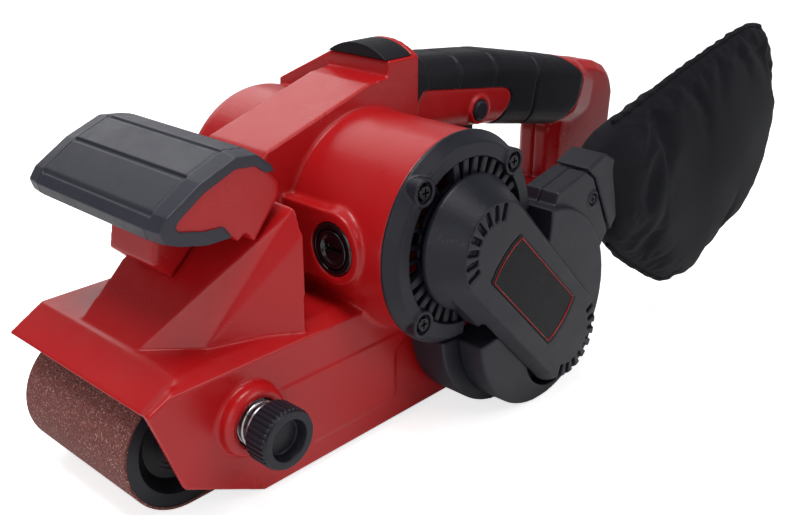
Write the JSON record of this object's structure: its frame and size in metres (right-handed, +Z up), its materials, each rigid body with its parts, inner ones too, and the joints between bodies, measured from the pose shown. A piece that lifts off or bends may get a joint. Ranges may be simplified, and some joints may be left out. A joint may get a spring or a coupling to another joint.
{
  "type": "handheld belt sander",
  "caption": "Corded handheld belt sander with a motor across the deck, front grip, rear D-handle, side belt drive and a cloth dust bag.",
  "frame": {"origin": "centre of the flat sanding sole, on the running face of the abrasive belt", "axes": "+X to the nose, +Y to the drive cover side, +Z up"},
  "size_m": [0.4556, 0.1616, 0.167],
  "materials": {
    "red_plastic": "satin moulded",
    "dark_plastic": "fine moulded grain",
    "grey_plastic": "fine moulded grain",
    "gloss_black": "gloss",
    "soft_rubber": "soft touch",
    "bag_cloth": "coated weave",
    "cork": "granular",
    "abrasive": "bonded grit",
    "cast_alloy": "die cast",
    "black_metal": "satin",
    "lamination_steel": "laminated",
    "copper": "enamelled wire",
    "brass": "drawn",
    "carbon": "pressed",
    "steel": "machined"
  },
  "bodies": {
    "frame": {"main_housing": "red_plastic", "motor_end_ring": "dark_plastic", "drive_cover": "dark_plastic", "badge_plate": "gloss_black", "fan_housing_inner": "dark_plastic", "fan_housing_outer": "dark_plastic", "handle_shell_left": "red_plastic", "handle_shell_right": "red_plastic", "handle_grip": "soft_rubber", "head_pad": "soft_rubber", "front_handle_core": "red_plastic", "front_handle_grip": "grey_plastic", "trigger_pin": "steel", "switch_module": "dark_plastic", "cord_boot": "soft_rubber", "power_cord": "soft_rubber", "chassis": "cast_alloy", "platen_sheet": "steel", "cork_pad": "cork", "platen_screws": "steel", "sanding_belt": "abrasive", "drive_bearings": "steel", "toothed_belt": "soft_rubber", "motor_bearings": "steel", "stator_core": "lamination_steel", "field_coils": "copper", "brush_holders": "brass", "carbon_brushes": "carbon", "brush_springs": "steel", "brush_caps": "gloss_black", "tension_spring": "steel", "tracking_spring": "steel", "ring_screws": "steel", "duct_screws": "steel", "handle_screws": "steel"},
    "armature": {"motor_shaft": "steel", "armature_core": "lamination_steel", "armature_windings": "copper", "commutator": "copper", "cooling_fan": "dark_plastic", "drive_pinion": "steel"},
    "drive_roller": {"drive_roller_core": "cast_alloy", "drive_roller_sleeve": "soft_rubber", "drive_shaft": "steel", "driven_pulley": "dark_plastic", "pulley_nut": "steel", "dust_fan": "dark_plastic"},
    "idler_carrier": {"idler_carrier": "black_metal", "idler_axle": "black_metal"},
    "idler_roller": {"idler_roller": "black_metal", "idler_bearings": "steel"},
    "tension_lever": {"tension_lever": "red_plastic"},
    "trigger": {"trigger": "dark_plastic"},
    "lock_button": {"lock_button": "dark_plastic"},
    "tracking_knob": {"tracking_knob": "dark_plastic", "tracking_screw": "steel"},
    "dust_bag": {"bag_collar": "dark_plastic", "dust_bag": "bag_cloth"}
  },
  "joints": [
    {"name": "armature_spin", "type": "hinge", "parent": "frame", "child": "armature", "pos_m": [-0.026, 0, 0.0945], "axis": [0, 1, 0], "continuous": true, "deforming": ["toothed_belt"]},
    {"name": "drive_roller_spin", "type": "hinge", "parent": "frame", "child": "drive_roller", "pos_m": [-0.084, 0, 0.02865], "axis": [0, 1, 0], "continuous": true},
    {"name": "idler_slide", "type": "slide", "parent": "frame", "child": "idler_carrier", "axis": [1, 0, 0], "range_m": [-0.006, 0], "deforming": ["tension_spring"]},
    {"name": "idler_spin", "type": "hinge", "parent": "idler_carrier", "child": "idler_roller", "pos_m": [0.095, 0, 0.02865], "axis": [0, 1, 0], "continuous": true},
    {"name": "lever_swing", "type": "hinge", "parent": "frame", "child": "tension_lever", "pos_m": [0.02, -0.026, 0.04], "axis": [0, 0, -1], "range_deg": [0, 85]},
    {"name": "trigger_pull", "type": "hinge", "parent": "frame", "child": "trigger", "pos_m": [-0.0935, 0, 0.114], "axis": [0, 1, 0], "range_deg": [0, 7]},
    {"name": "lock_slide", "type": "slide", "parent": "frame", "child": "lock_button", "axis": [0, -1, 0], "range_m": [0, 0.003]},
    {"name": "tracking_turn", "type": "hinge", "parent": "frame", "child": "tracking_knob", "pos_m": [0.077, 0.076, 0.041], "axis": [0, 1, 0], "range_deg": [-180, 180]},
    {"name": "bag_pull", "type": "slide", "parent": "frame", "child": "dust_bag", "axis": [-0.8601, 0, 0.5101], "range_m": [0, 0.025]}
  ],
  "couplings": [
    {"joint": "drive_roller_spin", "follows": "armature_spin", "ratio": 0.33333},
    {"joint": "idler_spin", "follows": "armature_spin", "ratio": 0.33333},
    {"joint": "lever_swing", "follows": "idler_slide", "rad_per_m": -247.3}
  ]
}
